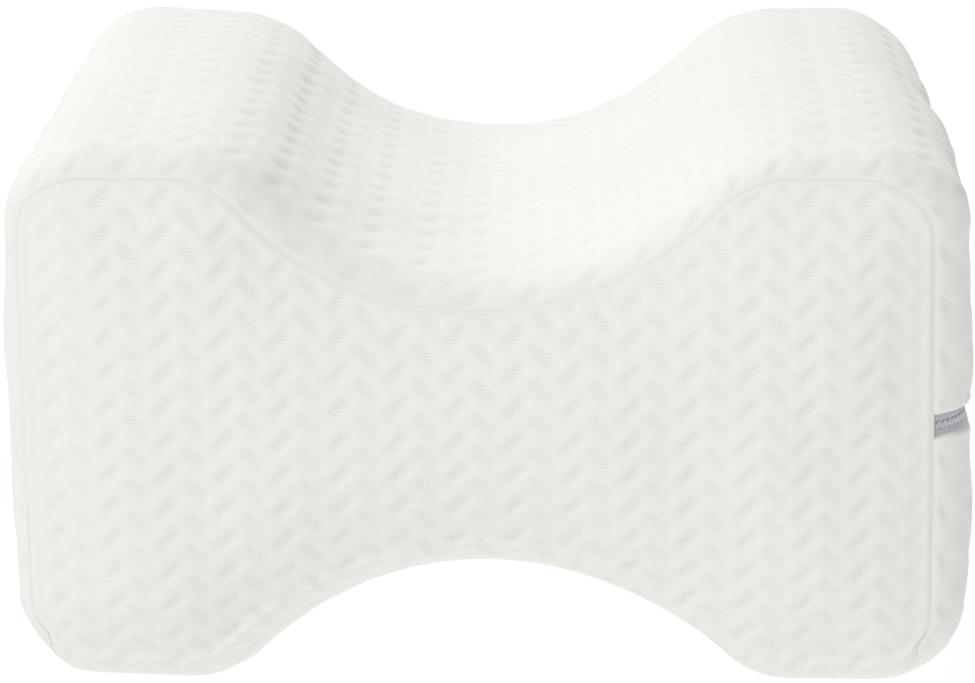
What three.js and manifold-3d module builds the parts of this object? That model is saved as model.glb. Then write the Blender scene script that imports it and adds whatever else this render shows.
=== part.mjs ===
// Hourglass knee pillow: a foam-filled block in a knitted cover.
// Millimetres, +Z up, +X across the two lobes, -Y towards the front panel.

import * as THREE from 'three';
import Module from 'manifold-3d';
import { mergeVertices } from 'three/addons/utils/BufferGeometryUtils.js';

const wasm = await Module();
wasm.setup();

// Outline of the block, seen from the front
const footWidth = 248.6;
const shoulderWidth = 243.8;
const height = 147;
const saddleDepth = 33;
const saddleRadius = 72;
const crestRadius = 32;
const archDepth = 30.4;
const archRadius = 87;
const archFillet = 25;
const shoulderRadius = 25;
const footRadius = 23;

// Depth of the block and the shape of its rounded ends
const planeY = 84;
const edgeRadius = 12;
const seamAngle = THREE.MathUtils.degToRad(65);
const lowSeamAngle = THREE.MathUtils.degToRad(24);
const seamInset = edgeRadius * (1 - Math.cos(seamAngle));
const seamY = planeY - edgeRadius * (1 - Math.sin(seamAngle));
const underFrom = 0.1;
const underTo = 0.85;
const sideDraw = 1.7;
const waistDraw = 4.4;
const waistHalfWidth = 50;
const frontCrestDraw = 3.2;
const rearCrestDraw = 1.8;
const flatShare = 0.12;
const footFlatShare = 0.5;
const steepFacing = 0.5;
const levelFacing = 0.8;

// Panels
const panelShift = -3;
const panelThickness = 2;
const panelCrown = 7.5;
const crownPower = 3;
const edgePower = 16;
const seatDepth = 3;
const seatGap = 0.6;
const rimTaper = 0.7;
const seatClear = 0.85;
const rimGap = 0.5;
const gap = 0.35;
const spineRatio = 0.62;
const spineZ = 73;

// Zip along the right side
const zipZ = 73;
const zipHalfWidth = 3;
const zipThickness = 1.5;
const zipTop = 0.2;
const zipEndAngle = THREE.MathUtils.degToRad(50);
const coilHalfWidth = 1.8;
const tapeDrop = 0.7;
const zipClearHalf = 9;
const grooveLip = 2;
const grooveDraft = 0.1;
const sideFacing = 0.9;

// Slider and pull near the rear end of the zip
const sliderY = 58;
const plateLength = 9;
const plateWidth = 6.8;
const plateThickness = 1.2;
const plateTaper = 0.75;
const bridgeLength = 6.8;
const bridgeWidth = 1.6;
const bridgeWall = 1.2;
const bridgeHeight = 3.6;
const bridgeRoof = 0.9;
const bridgeCorner = 1;
const pullLength = 18;
const pullWidth = 5.2;
const pullThickness = 0.8;
const pullTip = 0.8;
const pullBar = 1;
const slotReach = 4.4;
const slotHalfWidth = 1.6;

// Steps of the mesh
const outlineSteps = 88;
const bandSteps = 8;
const edgeSteps = 4;
const panelRings = [1, 0.985, 0.965, 0.94, 0.9, 0.82, 0.6, 0.36, 0.12];
const tipSteps = 8;
const weldTolerance = 1e-4;

const knitFront = new THREE.MeshStandardMaterial({ color: 0xeceae5, roughness: 0.92, metalness: 0 });
const knitBand = new THREE.MeshStandardMaterial({ color: 0xf0f0ee, roughness: 0.92, metalness: 0 });
const zipGrey = new THREE.MeshStandardMaterial({ color: 0xb4b4b8, roughness: 0.6, metalness: 0 });
const sliderMetal = new THREE.MeshStandardMaterial({ color: 0xc2c4c8, roughness: 0.35, metalness: 0.9 });

// The hourglass as arcs and straight runs, clockwise from the middle of the saddle.
function blockPath() {
  const top = height;
  const saddleSwing = Math.acos(1 - saddleDepth / (saddleRadius + crestRadius));
  const archSwing = Math.acos(1 - archDepth / (archRadius + archFillet));
  const crestX = (saddleRadius + crestRadius) * Math.sin(saddleSwing);
  const archX = (archRadius + archFillet) * Math.sin(archSwing);
  const saddleZ = top - saddleDepth + saddleRadius;
  const archZ = archDepth - archRadius;
  const shoulderX = shoulderWidth / 2 - shoulderRadius;
  const footX = footWidth / 2 - footRadius;
  const down = -Math.PI / 2;
  const up = Math.PI / 2;
  const path = new THREE.Path();
  path.absarc(0, saddleZ, saddleRadius, down, down + saddleSwing, false);
  path.absarc(crestX, top - crestRadius, crestRadius, up + saddleSwing, up, true);
  path.absarc(shoulderX, top - shoulderRadius, shoulderRadius, up, 0, true);
  path.absarc(footX, footRadius, footRadius, 0, down, true);
  path.absarc(archX, archFillet, archFillet, down, down - archSwing, true);
  path.absarc(0, archZ, archRadius, up - archSwing, up + archSwing, false);
  path.absarc(-archX, archFillet, archFillet, down + archSwing, down, true);
  path.absarc(-footX, footRadius, footRadius, down, -Math.PI, true);
  path.absarc(-shoulderX, top - shoulderRadius, shoulderRadius, Math.PI, up, true);
  path.absarc(-crestX, top - crestRadius, crestRadius, up, up - saddleSwing, true);
  path.absarc(0, saddleZ, saddleRadius, down - saddleSwing, down, false);
  return path;
}

// Point of the straight right side at a height, with its outward normal.
function sidePoint(z) {
  const low = new THREE.Vector2(footWidth / 2, footRadius);
  const high = new THREE.Vector2(shoulderWidth / 2, height - shoulderRadius);
  const run = high.clone().sub(low).normalize();
  const x = low.x + run.x / run.y * (z - low.y);
  return { x, z, nx: run.y, nz: -run.x, notch: 0 };
}

// Points round the block with normals; the zip's groove gets rows of its own.
function outlinePoints() {
  const raw = blockPath().getSpacedPoints(outlineSteps).slice(0, outlineSteps);
  const count = raw.length;
  const points = raw.map((point, i) => {
    const before = raw[(i + count - 1) % count];
    const after = raw[(i + 1) % count];
    const length = before.distanceTo(after);
    return {
      x: point.x,
      z: point.y,
      nx: -(after.y - before.y) / length,
      nz: (after.x - before.x) / length,
      notch: 0,
    };
  });
  const onZip = (p) => p.x > 0 && p.nx > sideFacing && Math.abs(p.z - zipZ) < zipClearHalf;
  const first = points.findIndex(onZip);
  const kept = points.filter((p) => !onZip(p));
  const wall = zipHalfWidth + gap;
  const depth = zipTop + zipThickness + gap;
  const rows = [
    { offset: wall + grooveLip, notch: 0 },
    { offset: wall + grooveDraft, notch: 0 },
    { offset: wall, notch: depth },
    { offset: -wall, notch: depth },
    { offset: -wall - grooveDraft, notch: 0 },
    { offset: -wall - grooveLip, notch: 0 },
  ];
  const zipRows = rows.map((row) => ({ ...sidePoint(zipZ + row.offset), notch: row.notch }));
  kept.splice(first, 0, ...zipRows);
  return kept;
}

// How far the cover is drawn in at a point, from none at mid-depth to all of it at the seam.
function drawIn(point, y) {
  const reach = Math.abs(y) / planeY;
  const isWaist = Math.abs(point.nz) > steepFacing;
  const waist = isWaist ? Math.exp(-((point.x / waistHalfWidth) ** 2)) : 0;
  const onFoot = THREE.MathUtils.smoothstep(-point.nz, levelFacing, 1) * (1 - waist);
  const onCrest = THREE.MathUtils.smoothstep(point.nz, steepFacing, 1) * (1 - waist);
  const flat = flatShare + footFlatShare * onFoot;
  const part = Math.max(0, (reach - flat) / (1 - flat));
  const crestDraw = y < 0 ? frontCrestDraw : rearCrestDraw;
  const draw = sideDraw + (crestDraw - sideDraw) * onCrest + (waistDraw - sideDraw) * waist;
  return draw * part * part;
}

// Stations from the front seam to the back seam: end is -1 or 1, angle turns round the edge.
function stations(maxAngle) {
  const list = [];
  for (let i = edgeSteps; i > 0; i -= 1) {
    list.push({ end: -1, angle: maxAngle * i / edgeSteps, y: 0 });
  }
  for (let i = 0; i <= bandSteps; i += 1) {
    list.push({ end: 0, angle: 0, y: (planeY - edgeRadius) * (2 * i / bandSteps - 1) });
  }
  for (let i = 1; i <= edgeSteps; i += 1) {
    list.push({ end: 1, angle: maxAngle * i / edgeSteps, y: 0 });
  }
  return list;
}

// Share of the seam's angle at a point: below the block the panels wrap further round the edge.
function seamShare(point) {
  const under = THREE.MathUtils.smoothstep(-point.nz, underFrom, underTo);
  return 1 + (lowSeamAngle / seamAngle - 1) * under;
}

// A point on the band at one station, sunk by a depth under the surface.
function bandPoint(point, station, depth) {
  const { end } = station;
  const angle = station.angle * seamShare(point);
  const shift = end < 0 ? panelShift * station.angle / seamAngle : 0;
  const turned = planeY - edgeRadius * (1 - Math.sin(angle)) - depth * Math.sin(angle);
  const y = end === 0 ? station.y : end * turned;
  const turn = Math.min(edgeRadius * (1 - Math.cos(angle)) + depth * Math.cos(angle), seamInset);
  const inset = drawIn(point, y) + turn;
  return new THREE.Vector3(point.x - point.nx * inset + shift, y, point.z - point.nz * inset);
}

// Joins rings of equal length into a closed body, capping both ends; faces point outwards.
function loft(rings) {
  const count = rings[0].length;
  const vertices = rings.flat();
  const index = [];
  for (let r = 0; r < rings.length - 1; r += 1) {
    for (let i = 0; i < count; i += 1) {
      const next = (i + 1) % count;
      const a = r * count + i;
      const b = r * count + next;
      const c = (r + 1) * count + next;
      const d = (r + 1) * count + i;
      index.push(a, b, c, a, c, d);
    }
  }
  capRing(index, rings[0], 0, false);
  capRing(index, rings.at(-1), vertices.length - count, true);
  return bodyFrom(vertices, index);
}

// Fills an end ring with rungs between its upper and lower chains, both read from left to right.
function capRing(index, ring, offset, forward) {
  const count = ring.length;
  const places = ring.map((v, i) => i);
  const left = places.reduce((best, i) => (ring[i].x < ring[best].x ? i : best), 0);
  const right = places.reduce((best, i) => (ring[i].x > ring[best].x ? i : best), 0);
  const chain = (from, to, step) => {
    const list = [from];
    for (let i = from; i !== to;) {
      i = (i + step + count) % count;
      list.push(i);
    }
    return list;
  };
  const upper = chain(left, right, 1);
  const lower = chain(left, right, -1);
  let u = 0;
  let l = 0;
  while (u < upper.length - 1 || l < lower.length - 1) {
    const isUpper = l === lower.length - 1
      || (u < upper.length - 1 && ring[upper[u + 1]].x <= ring[lower[l + 1]].x);
    const far = isUpper ? upper[u + 1] : lower[l + 1];
    const rung = [upper[u], far, lower[l]];
    if (isUpper) {
      u += 1;
    } else {
      l += 1;
    }
    if (new Set(rung).size < rung.length) {
      continue;
    }
    const turned = forward ? rung : rung.reverse();
    index.push(...turned.map((i) => offset + i));
  }
}

// Indexed geometry whose signed volume is positive.
function bodyFrom(vertices, index) {
  let volume = 0;
  for (let i = 0; i < index.length; i += 3) {
    const [a, b, c] = [vertices[index[i]], vertices[index[i + 1]], vertices[index[i + 2]]];
    volume += a.dot(b.clone().cross(c));
  }
  const outward = volume > 0 ? index : index.slice().reverse();
  const geometry = new THREE.BufferGeometry();
  const numbers = vertices.flatMap((v) => v.toArray());
  geometry.setAttribute('position', new THREE.Float32BufferAttribute(numbers, 3));
  geometry.setIndex(outward);
  geometry.computeVertexNormals();
  return geometry;
}

// The seam's edge on the block, where the band meets a panel.
function seamPoint(point, end, extra) {
  const lip = bandPoint({ ...point, notch: 0 }, { end, angle: seamAngle }, 0);
  return new THREE.Vector3(lip.x - point.nx * extra, lip.y, lip.z - point.nz * extra);
}

// Ring part way between the seam and the middle of a panel: it rises round the edge, then to the crown.
function crownRing(outline, end, size, extra, lift) {
  return outline.map((point) => {
    const rim = seamPoint(point, end, extra);
    const spineX = rim.x * spineRatio;
    const x = spineX + (rim.x - spineX) * size;
    const z = spineZ + (rim.z - spineZ) * size;
    const edgeRise = (seamY - Math.abs(rim.y)) * (1 - size ** edgePower);
    const rise = edgeRise + panelCrown * (1 - size ** crownPower);
    return new THREE.Vector3(x, rim.y + end * (lift + rise), z);
  });
}

// How far a seat's ring lies inside the seam, none at the rim itself.
function seatInset(size) {
  return size === 1 ? 0 : seatClear * size;
}

// The filled block in its band: rounded edges, drawn-in ends, a shallow seat for each panel.
function pillowBody(outline) {
  const rings = [];
  for (const size of [...panelRings].reverse()) {
    rings.push(crownRing(outline, -1, size, seatInset(size), -seatDepth));
  }
  for (const station of stations(seamAngle)) {
    rings.push(outline.map((point) => bandPoint(point, station, point.notch)));
  }
  for (const size of panelRings) {
    rings.push(crownRing(outline, 1, size, seatInset(size), -seatDepth));
  }
  return loft(rings);
}

// A crowned cloth panel that lies in its seat, a hair clear of the block.
function panel(outline, end) {
  const under = -seatDepth + seatGap;
  const over = under + panelThickness;
  const inner = panelRings.map((size) => {
    const taper = size === 1 ? rimTaper : 0;
    return crownRing(outline, end, size, rimGap, under + taper);
  });
  const outer = panelRings.map((size) => crownRing(outline, end, size, rimGap, over));
  return loft([...inner.reverse(), ...outer]);
}

// The zip: a flat strip with a raised coil, from the front seam to the back seam.
function zipStrip() {
  const section = [
    { offset: zipHalfWidth, depth: zipTop + zipThickness },
    { offset: zipHalfWidth, depth: zipTop + tapeDrop },
    { offset: coilHalfWidth, depth: zipTop },
    { offset: -coilHalfWidth, depth: zipTop },
    { offset: -zipHalfWidth, depth: zipTop + tapeDrop },
    { offset: -zipHalfWidth, depth: zipTop + zipThickness },
  ];
  const rings = stations(zipEndAngle).map((station) => section.map((corner) => (
    bandPoint(sidePoint(zipZ + corner.offset), station, corner.depth)
  )));
  return loft(rings);
}

function toSolid(geometry) {
  const bare = geometry.clone();
  bare.deleteAttribute('normal');
  bare.deleteAttribute('uv');
  const merged = mergeVertices(bare, weldTolerance);
  return new wasm.Manifold(new wasm.Mesh({
    numProp: 3,
    vertProperties: merged.attributes.position.array,
    triVerts: new Uint32Array(merged.index.array),
  }));
}

function toGeometry(solid) {
  const mesh = solid.getMesh();
  const geometry = new THREE.BufferGeometry();
  geometry.setAttribute('position', new THREE.BufferAttribute(new Float32Array(mesh.vertProperties), 3));
  geometry.setIndex(new THREE.BufferAttribute(new Uint32Array(mesh.triVerts), 1));
  geometry.computeVertexNormals();
  return geometry;
}

// Slider: a tapered plate over the coil, joined to an arched bridge for the pull.
function sliderBody() {
  const halfLength = plateLength / 2;
  const halfWidth = plateWidth / 2;
  const plate = new THREE.Shape();
  plate.moveTo(-halfLength, -halfWidth * plateTaper);
  plate.lineTo(0, -halfWidth);
  plate.lineTo(halfLength, -halfWidth);
  plate.lineTo(halfLength, halfWidth);
  plate.lineTo(0, halfWidth);
  plate.lineTo(-halfLength, halfWidth * plateTaper);
  plate.closePath();
  const base = new THREE.ExtrudeGeometry(plate, { depth: plateThickness, bevelEnabled: false });
  const outer = bridgeLength / 2;
  const inner = outer - bridgeWall;
  const foot = plateThickness / 2;
  const under = bridgeHeight - bridgeRoof;
  const arch = new THREE.Shape();
  arch.moveTo(-outer, foot);
  arch.lineTo(-outer, bridgeHeight - bridgeCorner);
  arch.lineTo(-outer + bridgeCorner, bridgeHeight);
  arch.lineTo(outer - bridgeCorner, bridgeHeight);
  arch.lineTo(outer, bridgeHeight - bridgeCorner);
  arch.lineTo(outer, foot);
  arch.lineTo(inner, foot);
  arch.lineTo(inner, under);
  arch.lineTo(-inner, under);
  arch.lineTo(-inner, foot);
  arch.closePath();
  const bridge = new THREE.ExtrudeGeometry(arch, { depth: bridgeWidth, bevelEnabled: false });
  bridge.rotateX(Math.PI / 2);
  bridge.translate(0, bridgeWidth / 2, 0);
  return toGeometry(toSolid(base).add(toSolid(bridge)));
}

// Pull: a tapered tab whose bar lies under the bridge and whose slot clears the bridge's foot.
function sliderPull() {
  const half = pullWidth / 2;
  const tipRadius = half * pullTip;
  const tipX = pullBar - pullLength + tipRadius;
  const tab = new THREE.Shape();
  tab.moveTo(pullBar, -half);
  tab.lineTo(pullBar, half);
  tab.lineTo(tipX, tipRadius);
  tab.absarc(tipX, 0, tipRadius, Math.PI / 2, 3 * Math.PI / 2, false);
  tab.closePath();
  const slot = new THREE.Path();
  slot.moveTo(-slotReach, -slotHalfWidth);
  slot.lineTo(-slotReach, slotHalfWidth);
  slot.lineTo(-pullBar, slotHalfWidth);
  slot.lineTo(-pullBar, -slotHalfWidth);
  slot.closePath();
  tab.holes.push(slot);
  const options = { depth: pullThickness, bevelEnabled: false, curveSegments: tipSteps };
  const pull = new THREE.ExtrudeGeometry(tab, options);
  pull.translate(0, 0, plateThickness + gap);
  return pull;
}

function addMesh(parent, name, geometry, material) {
  const mesh = new THREE.Mesh(geometry, material);
  mesh.name = name;
  parent.add(mesh);
}

// A group that lies on the zip at one depth, its X along the zip and its Z away from the side.
function zipSeat(y) {
  const at = (place) => bandPoint(sidePoint(zipZ), { end: 0, angle: 0, y: place }, -gap);
  const along = at(y + plateLength / 2).sub(at(y - plateLength / 2)).normalize();
  const away = new THREE.Vector3(along.y, -along.x, 0);
  const seat = new THREE.Group();
  const up = new THREE.Vector3(0, 0, 1);
  seat.quaternion.setFromRotationMatrix(new THREE.Matrix4().makeBasis(along, up, away));
  seat.position.copy(at(y));
  return seat;
}

const outline = outlinePoints();
const pillow = new THREE.Group();
addMesh(pillow, 'pillow_body', pillowBody(outline), knitBand);
addMesh(pillow, 'front_panel', panel(outline, -1), knitFront);
addMesh(pillow, 'back_panel', panel(outline, 1), knitFront);
addMesh(pillow, 'zip_strip', zipStrip(), zipGrey);

const sliderSeat = zipSeat(sliderY);
addMesh(sliderSeat, 'zip_slider', sliderBody(), sliderMetal);
addMesh(sliderSeat, 'zip_pull', sliderPull(), sliderMetal);
pillow.add(sliderSeat);

// The origin lies under the middle of the whole part.
const extent = new THREE.Box3().setFromObject(pillow);
const middle = extent.getCenter(new THREE.Vector3());
pillow.position.set(-middle.x, -middle.y, -extent.min.z);

export default pillow;
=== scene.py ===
# Hourglass knee pillow in a knitted cover, dressed over its solid model.
# Shapes are worked out in millimetres and written to the meshes in metres.
import math
import bpy
import numpy as np
from mathutils import Matrix, Vector


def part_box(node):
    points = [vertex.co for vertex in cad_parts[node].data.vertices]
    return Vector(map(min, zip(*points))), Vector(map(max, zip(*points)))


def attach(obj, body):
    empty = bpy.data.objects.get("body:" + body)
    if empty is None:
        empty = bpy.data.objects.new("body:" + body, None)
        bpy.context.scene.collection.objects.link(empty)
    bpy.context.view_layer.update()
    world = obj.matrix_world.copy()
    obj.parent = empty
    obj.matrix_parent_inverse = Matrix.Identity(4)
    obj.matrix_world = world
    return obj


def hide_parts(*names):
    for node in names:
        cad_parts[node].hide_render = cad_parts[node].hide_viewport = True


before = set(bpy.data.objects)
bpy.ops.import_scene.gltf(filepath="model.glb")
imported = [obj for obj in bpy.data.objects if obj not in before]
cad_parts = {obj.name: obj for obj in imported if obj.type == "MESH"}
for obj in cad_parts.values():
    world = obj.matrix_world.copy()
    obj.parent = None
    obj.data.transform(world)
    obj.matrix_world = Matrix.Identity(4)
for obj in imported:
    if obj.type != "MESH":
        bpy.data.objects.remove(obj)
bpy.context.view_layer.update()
scene = bpy.context.scene
mm = 0.001


block = {
    "footWidth": 248.6, "shoulderWidth": 243.8, "height": 147.0,
    "saddleDepth": 33.0, "saddleRadius": 72.0, "crestRadius": 32.0,
    "archDepth": 30.4, "archRadius": 87.0, "archFillet": 25.0,
    "shoulderRadius": 25.0, "footRadius": 23.0,
    "planeY": 84.0, "edgeRadius": 12.0, "seamAngle": math.radians(65), "lowSeamAngle": math.radians(24),
    "sideDraw": 1.7, "frontCrestDraw": 3.2, "rearCrestDraw": 1.8,
    "waistDraw": 4.4, "waistHalfWidth": 50.0, "panelShift": -3.0,
    "waistFacing": (0.35, 0.65), "footFacing": (0.8, 1), "crestFacing": (0.5, 1),    # how far up or down
    "flatShare": 0.12, "footFlatShare": 0.5,        # share of the depth that is not drawn in
    "wrapFacing": (0.1, 0.85), "cornerX": (95, 110), "cornerLater": (0.5, 0.13),
    "arcSteps": 60, "blendReach": 1.6, "middleZ": 73.0,
}
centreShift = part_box("pillow_body")[0][0] / mm + block["footWidth"] / 2    # where the solids' middle lies


def smoothstep(low, high, value):
    part = np.clip((value - low) / (high - low), 0, 1)
    return part * part * (3 - 2 * part)


# The filling is not quite even: the arch sits to the right, the left foot and the right crest are
# rounder, and the saddle's right flank is wider. Each pair is where a smooth step starts and ends.
uneven = {
    "lowZ": (8, 48),
    "archRight": 2.2, "archX": (70, 100),
    "leftFootIn": 2.6, "leftFootUp": 2.2, "leftFootX": (82, 120), "leftFootZ": (5, 60),
    "flankRight": 1.8, "flankRiseX": (25, 65), "flankFallX": (80, 105), "flankZ": (100, 115),
    "rightCrestDown": 1.8, "rightCrestX": (88, 118), "rightCrestZ": (105, 140),
}


# Moves each point of the outline sideways and up by steps in x times steps in z.
def unevenOutline(chain):
    x, z = chain.T
    low = 1 - smoothstep(*uneven["lowZ"], z)
    onLeft = smoothstep(*uneven["leftFootX"], -x)
    onFlank = smoothstep(*uneven["flankRiseX"], x) * (1 - smoothstep(*uneven["flankFallX"], x))
    shiftX = uneven["archRight"] * low * (1 - smoothstep(*uneven["archX"], np.abs(x)))
    shiftX += uneven["leftFootIn"] * (1 - smoothstep(*uneven["leftFootZ"], z)) * onLeft
    shiftX += uneven["flankRight"] * onFlank * smoothstep(*uneven["flankZ"], z)
    onCrest = smoothstep(*uneven["rightCrestX"], x) * smoothstep(*uneven["rightCrestZ"], z)
    shiftZ = uneven["leftFootUp"] * low ** 2 * onLeft - uneven["rightCrestDown"] * onCrest
    return np.c_[x + shiftX, z + shiftZ]


# The outline is a chain of arcs joined by straight runs, clockwise from the middle of the saddle.
def outlineCurve():
    b = block
    saddleSwing = math.acos(1 - b["saddleDepth"] / (b["saddleRadius"] + b["crestRadius"]))
    archSwing = math.acos(1 - b["archDepth"] / (b["archRadius"] + b["archFillet"]))
    crestX = (b["saddleRadius"] + b["crestRadius"]) * math.sin(saddleSwing)
    archX = (b["archRadius"] + b["archFillet"]) * math.sin(archSwing)
    saddleZ = b["height"] - b["saddleDepth"] + b["saddleRadius"]
    shoulderX = b["shoulderWidth"] / 2 - b["shoulderRadius"]
    footX = b["footWidth"] / 2 - b["footRadius"]
    half = math.pi / 2
    arcs = [
        (0, saddleZ, b["saddleRadius"], -half, -half + saddleSwing),
        (crestX, b["height"] - b["crestRadius"], b["crestRadius"], half + saddleSwing, half),
        (shoulderX, b["height"] - b["shoulderRadius"], b["shoulderRadius"], half, 0),
        (footX, b["footRadius"], b["footRadius"], 0, -half),
        (archX, b["archFillet"], b["archFillet"], -half, -half - archSwing),
        (0, b["archDepth"] - b["archRadius"], b["archRadius"], half - archSwing, half),
    ]
    right = []
    for cx, cz, radius, start, stop in arcs:
        turn = np.linspace(start, stop, b["arcSteps"])
        right.append(np.c_[cx + radius * np.cos(turn), cz + radius * np.sin(turn)])
    right = np.vstack(right)
    left = right[::-1] * [-1, 1]
    chain = unevenOutline(np.vstack([right, left]))
    step = np.hypot(*np.diff(chain, axis=0).T)
    keep = np.r_[True, step > 1e-6]
    chain = chain[keep]
    along = np.r_[0, np.cumsum(np.hypot(*np.diff(chain, axis=0).T))]
    return chain, along


outlineChain, outlineAlong = outlineCurve()
girth = outlineAlong[-1]


# Points of the outline at given lengths along it, each the mean of three close by, with outward normals
# from a short central difference.
def outlineAt(along):
    reach = block["blendReach"]

    def at(s):
        s = np.mod(s, girth)
        return np.stack([np.interp(s, outlineAlong, axis) for axis in outlineChain.T], axis=-1)

    run = at(along + reach) - at(along - reach)
    run /= np.hypot(*run.T)[:, None]
    points = (at(along - reach / 2) + at(along) * 2 + at(along + reach / 2)) / 4
    return points, np.c_[-run[:, 1], run[:, 0]]


# How far the cover is drawn in: none at mid-depth, growing as a square towards each seam. The waist is
# the saddle and the arch; crests and feet are told by how far the outline faces up or down.
def drawIn(point, normal, y):
    b = block
    up = normal[..., 1]
    reach = np.abs(y) / b["planeY"]
    waist = smoothstep(*b["waistFacing"], np.abs(up)) * np.exp(-(point[..., 0] / b["waistHalfWidth"]) ** 2)
    onFoot = smoothstep(*b["footFacing"], -up) * (1 - waist)
    onCrest = smoothstep(*b["crestFacing"], up) * (1 - waist)
    flat = b["flatShare"] + b["footFlatShare"] * onFoot
    part = np.clip((reach - flat) / (1 - flat), 0, None)
    crestDraw = np.where(y < 0, b["frontCrestDraw"], b["rearCrestDraw"])
    draw = b["sideDraw"] + (crestDraw - b["sideDraw"]) * onCrest + (b["waistDraw"] - b["sideDraw"]) * waist
    return draw * part * part


flatHalf = block["planeY"] - block["edgeRadius"]
seamReach = flatHalf + block["edgeRadius"] * block["seamAngle"]    # mid-depth to seam, over the rounded edge


# Share of the seam's angle at a place: below the block the panels wrap further round the edge, and at
# the outer corner of a foot they start to do so later.
def seamShare(point, normal):
    outer = smoothstep(*block["cornerX"], np.abs(point[..., 0]))
    (low, high), (lowLater, highLater) = block["wrapFacing"], block["cornerLater"]
    under = smoothstep(low + lowLater * outer, high + highLater * outer, -normal[..., 1])
    return 1 + (block["lowSeamAngle"] / block["seamAngle"] - 1) * under


# A point of the band: along is the length round the outline, across the length from mid-depth over
# the rounded edge, and lift the height above the plain surface, along its own normal.
def bandSurface(along, across, lift):
    b = block
    point, normal = outlineAt(along.ravel())
    point = point.reshape(along.shape + (2,))
    normal = normal.reshape(along.shape + (2,))
    side = np.sign(across)
    angle = np.clip((np.abs(across) - flatHalf) / b["edgeRadius"], 0, None) * seamShare(point, normal)
    y = np.where(angle > 0, side * (flatHalf + b["edgeRadius"] * np.sin(angle)), across)
    inset = drawIn(point, normal, y) + b["edgeRadius"] * (1 - np.cos(angle))
    overEdge = np.clip((np.abs(across) - flatHalf) / (seamReach - flatHalf), 0, 1)
    shift = np.where(side < 0, b["panelShift"] * overEdge, 0)
    out = np.cos(angle) * lift - inset
    x = point[..., 0] + normal[..., 0] * out + shift + centreShift
    z = point[..., 1] + normal[..., 1] * out
    return np.stack([x, y + side * np.sin(angle) * lift, z], axis=-1)


knit = {
    "frontColumn": 14.5, "frontRow": 8.8,        # pitch of the sunken ovals on the end panels
    "bandColumn": girth / round(girth / 13.5), "bandRow": 10.6,    # a whole number of columns goes round
    "slant": math.radians(42),
    "panelOval": (3.5, 1.5), "bandOval": (2.9, 1.5),    # half length and half width
    "panelDepth": 0.40, "bandDepth": 0.44, "bandLeftShare": 0.4,
    "puffShare": 0.4, "puffLonger": 1.35, "puffWider": 1.5,    # the puff stays this much off the ovals
}


# Sum of soft ovals on two lattices: one leans right, the other left and half a pitch away both ways.
# Each oval is exp(-(a/length)^4 - (b/width)^4), with a and b along and across its slant.
def ovalPattern(u, v, column, row, length, width, leftShare):
    total = np.zeros_like(u)
    for lean, offset, share in ((1, 0.0, 1.0), (-1, 0.5, leftShare)):
        du = (np.mod(u / column - offset + 0.5, 1) - 0.5) * column
        dvBase = (np.mod(v / row - offset + 0.5, 1) - 0.5) * row
        for neighbour in (-1, 0, 1):
            dv = dvBase + neighbour * row
            a = du * math.cos(knit["slant"]) + lean * dv * math.sin(knit["slant"])
            b = -lean * du * math.sin(knit["slant"]) + dv * math.cos(knit["slant"])
            total += share * np.exp(-(a / length) ** 4 - (b / width) ** 4)
    return np.clip(total, 0, 1)


# Height of the knit, ovals sunk below a gently puffed ground, and where its open mesh lies.
def knitHeight(u, v, column, row, oval, depth, leftShare):
    length, width = oval
    mesh = ovalPattern(u, v, column, row, length, width, 1.0)
    sunken = ovalPattern(u, v, column, row, length, width, leftShare)
    broad = ovalPattern(u, v, column, row, length * knit["puffLonger"], width * knit["puffWider"], leftShare)
    return depth * (knit["puffShare"] * (1 - broad) - sunken), mesh


# Smooth random waves in space: a sum of sines whose ways and phases come from a seeded generator, with
# waves from 0.6 to 1.7 times the given size.
def softNoise(places, size, seed, count=18):
    rng = np.random.default_rng(seed)
    total = np.zeros(places.shape[:-1])
    for _ in range(count):
        way = rng.normal(size=3)
        way *= 2 * math.pi / (np.linalg.norm(way) * size * rng.uniform(0.6, 1.7))
        total += np.sin(places @ way + rng.uniform(0, 2 * math.pi))
    return total / math.sqrt(count / 2)


# Quads between the neighbours of a grid, whose last column may close on its first.
def gridFaces(rows, columns, closedColumns, start=0):
    row = np.arange(rows - 1)[:, None] * columns
    here = np.arange(columns if closedColumns else columns - 1)[None, :]
    after = (here + 1) % columns
    quads = np.stack([row + here, row + after, row + columns + after, row + columns + here], axis=-1)
    return quads.reshape(-1, 4) + start


# Six times the signed volume between the origin and faces given by three corners each.
def signedVolume(first, second, third):
    return np.einsum("ij,ij->i", first, np.cross(second, third)).sum()


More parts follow.
